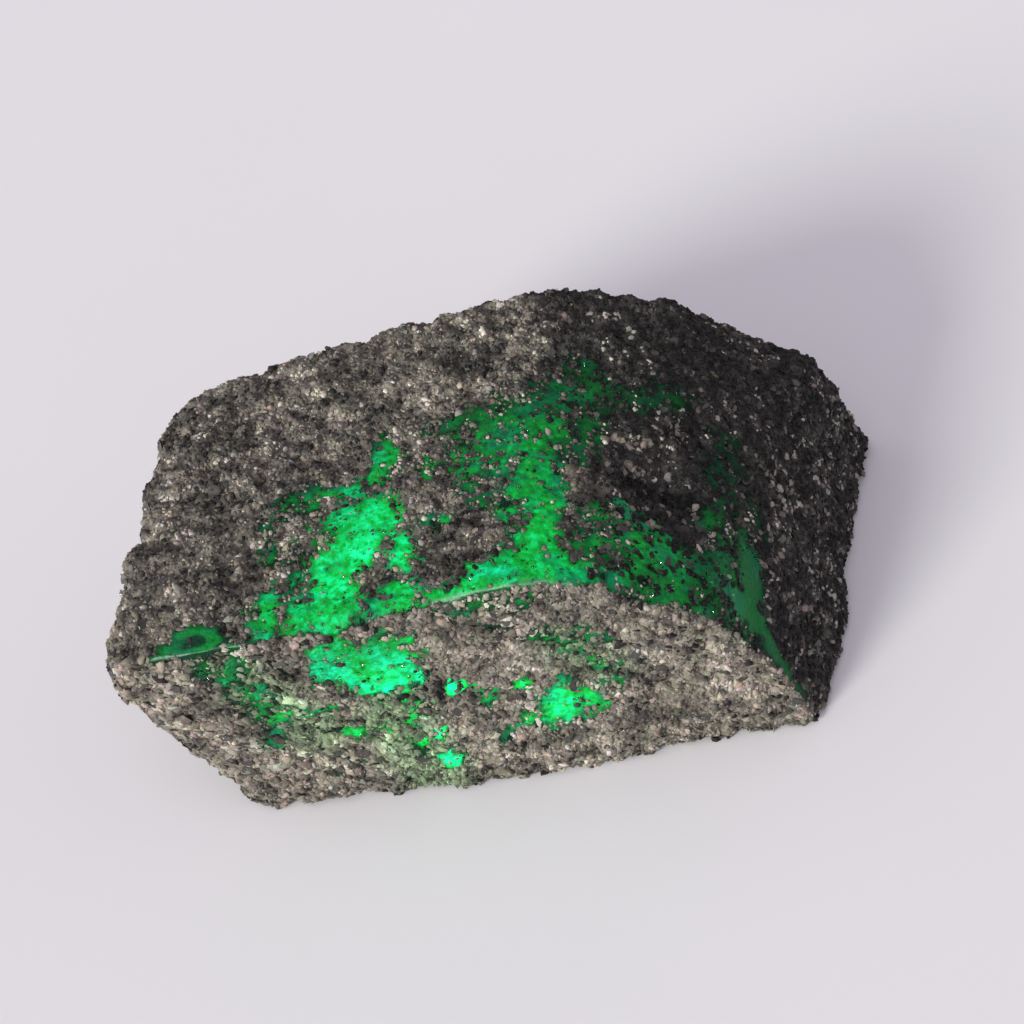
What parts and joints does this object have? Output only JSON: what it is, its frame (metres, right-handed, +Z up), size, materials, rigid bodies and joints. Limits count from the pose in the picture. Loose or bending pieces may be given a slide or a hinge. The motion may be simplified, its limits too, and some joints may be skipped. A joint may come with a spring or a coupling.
{
  "type": "raw emerald crystal",
  "caption": "Rough block of green emerald lying on a flat side, with a grainy grey-brown mica schist crust worn through in clear green patches.",
  "frame": {"origin": "on the surface the stone rests on, under the middle of the stone", "axes": "+Z up, +X along the stone's length, -Y out of its tall steep side, which shows the prism's cross-section"},
  "size_m": [0.0612, 0.0322, 0.019],
  "materials": {
    "mica_schist": "rough granular crust of dark mica, grey quartz and pinkish feldspar grains",
    "emerald": "clear to cloudy bright green beryl, worn smooth, lit through from inside the stone"
  },
  "bodies": {
    "root": {"emerald_crystal": "mica_schist"}
  },
  "joints": []
}
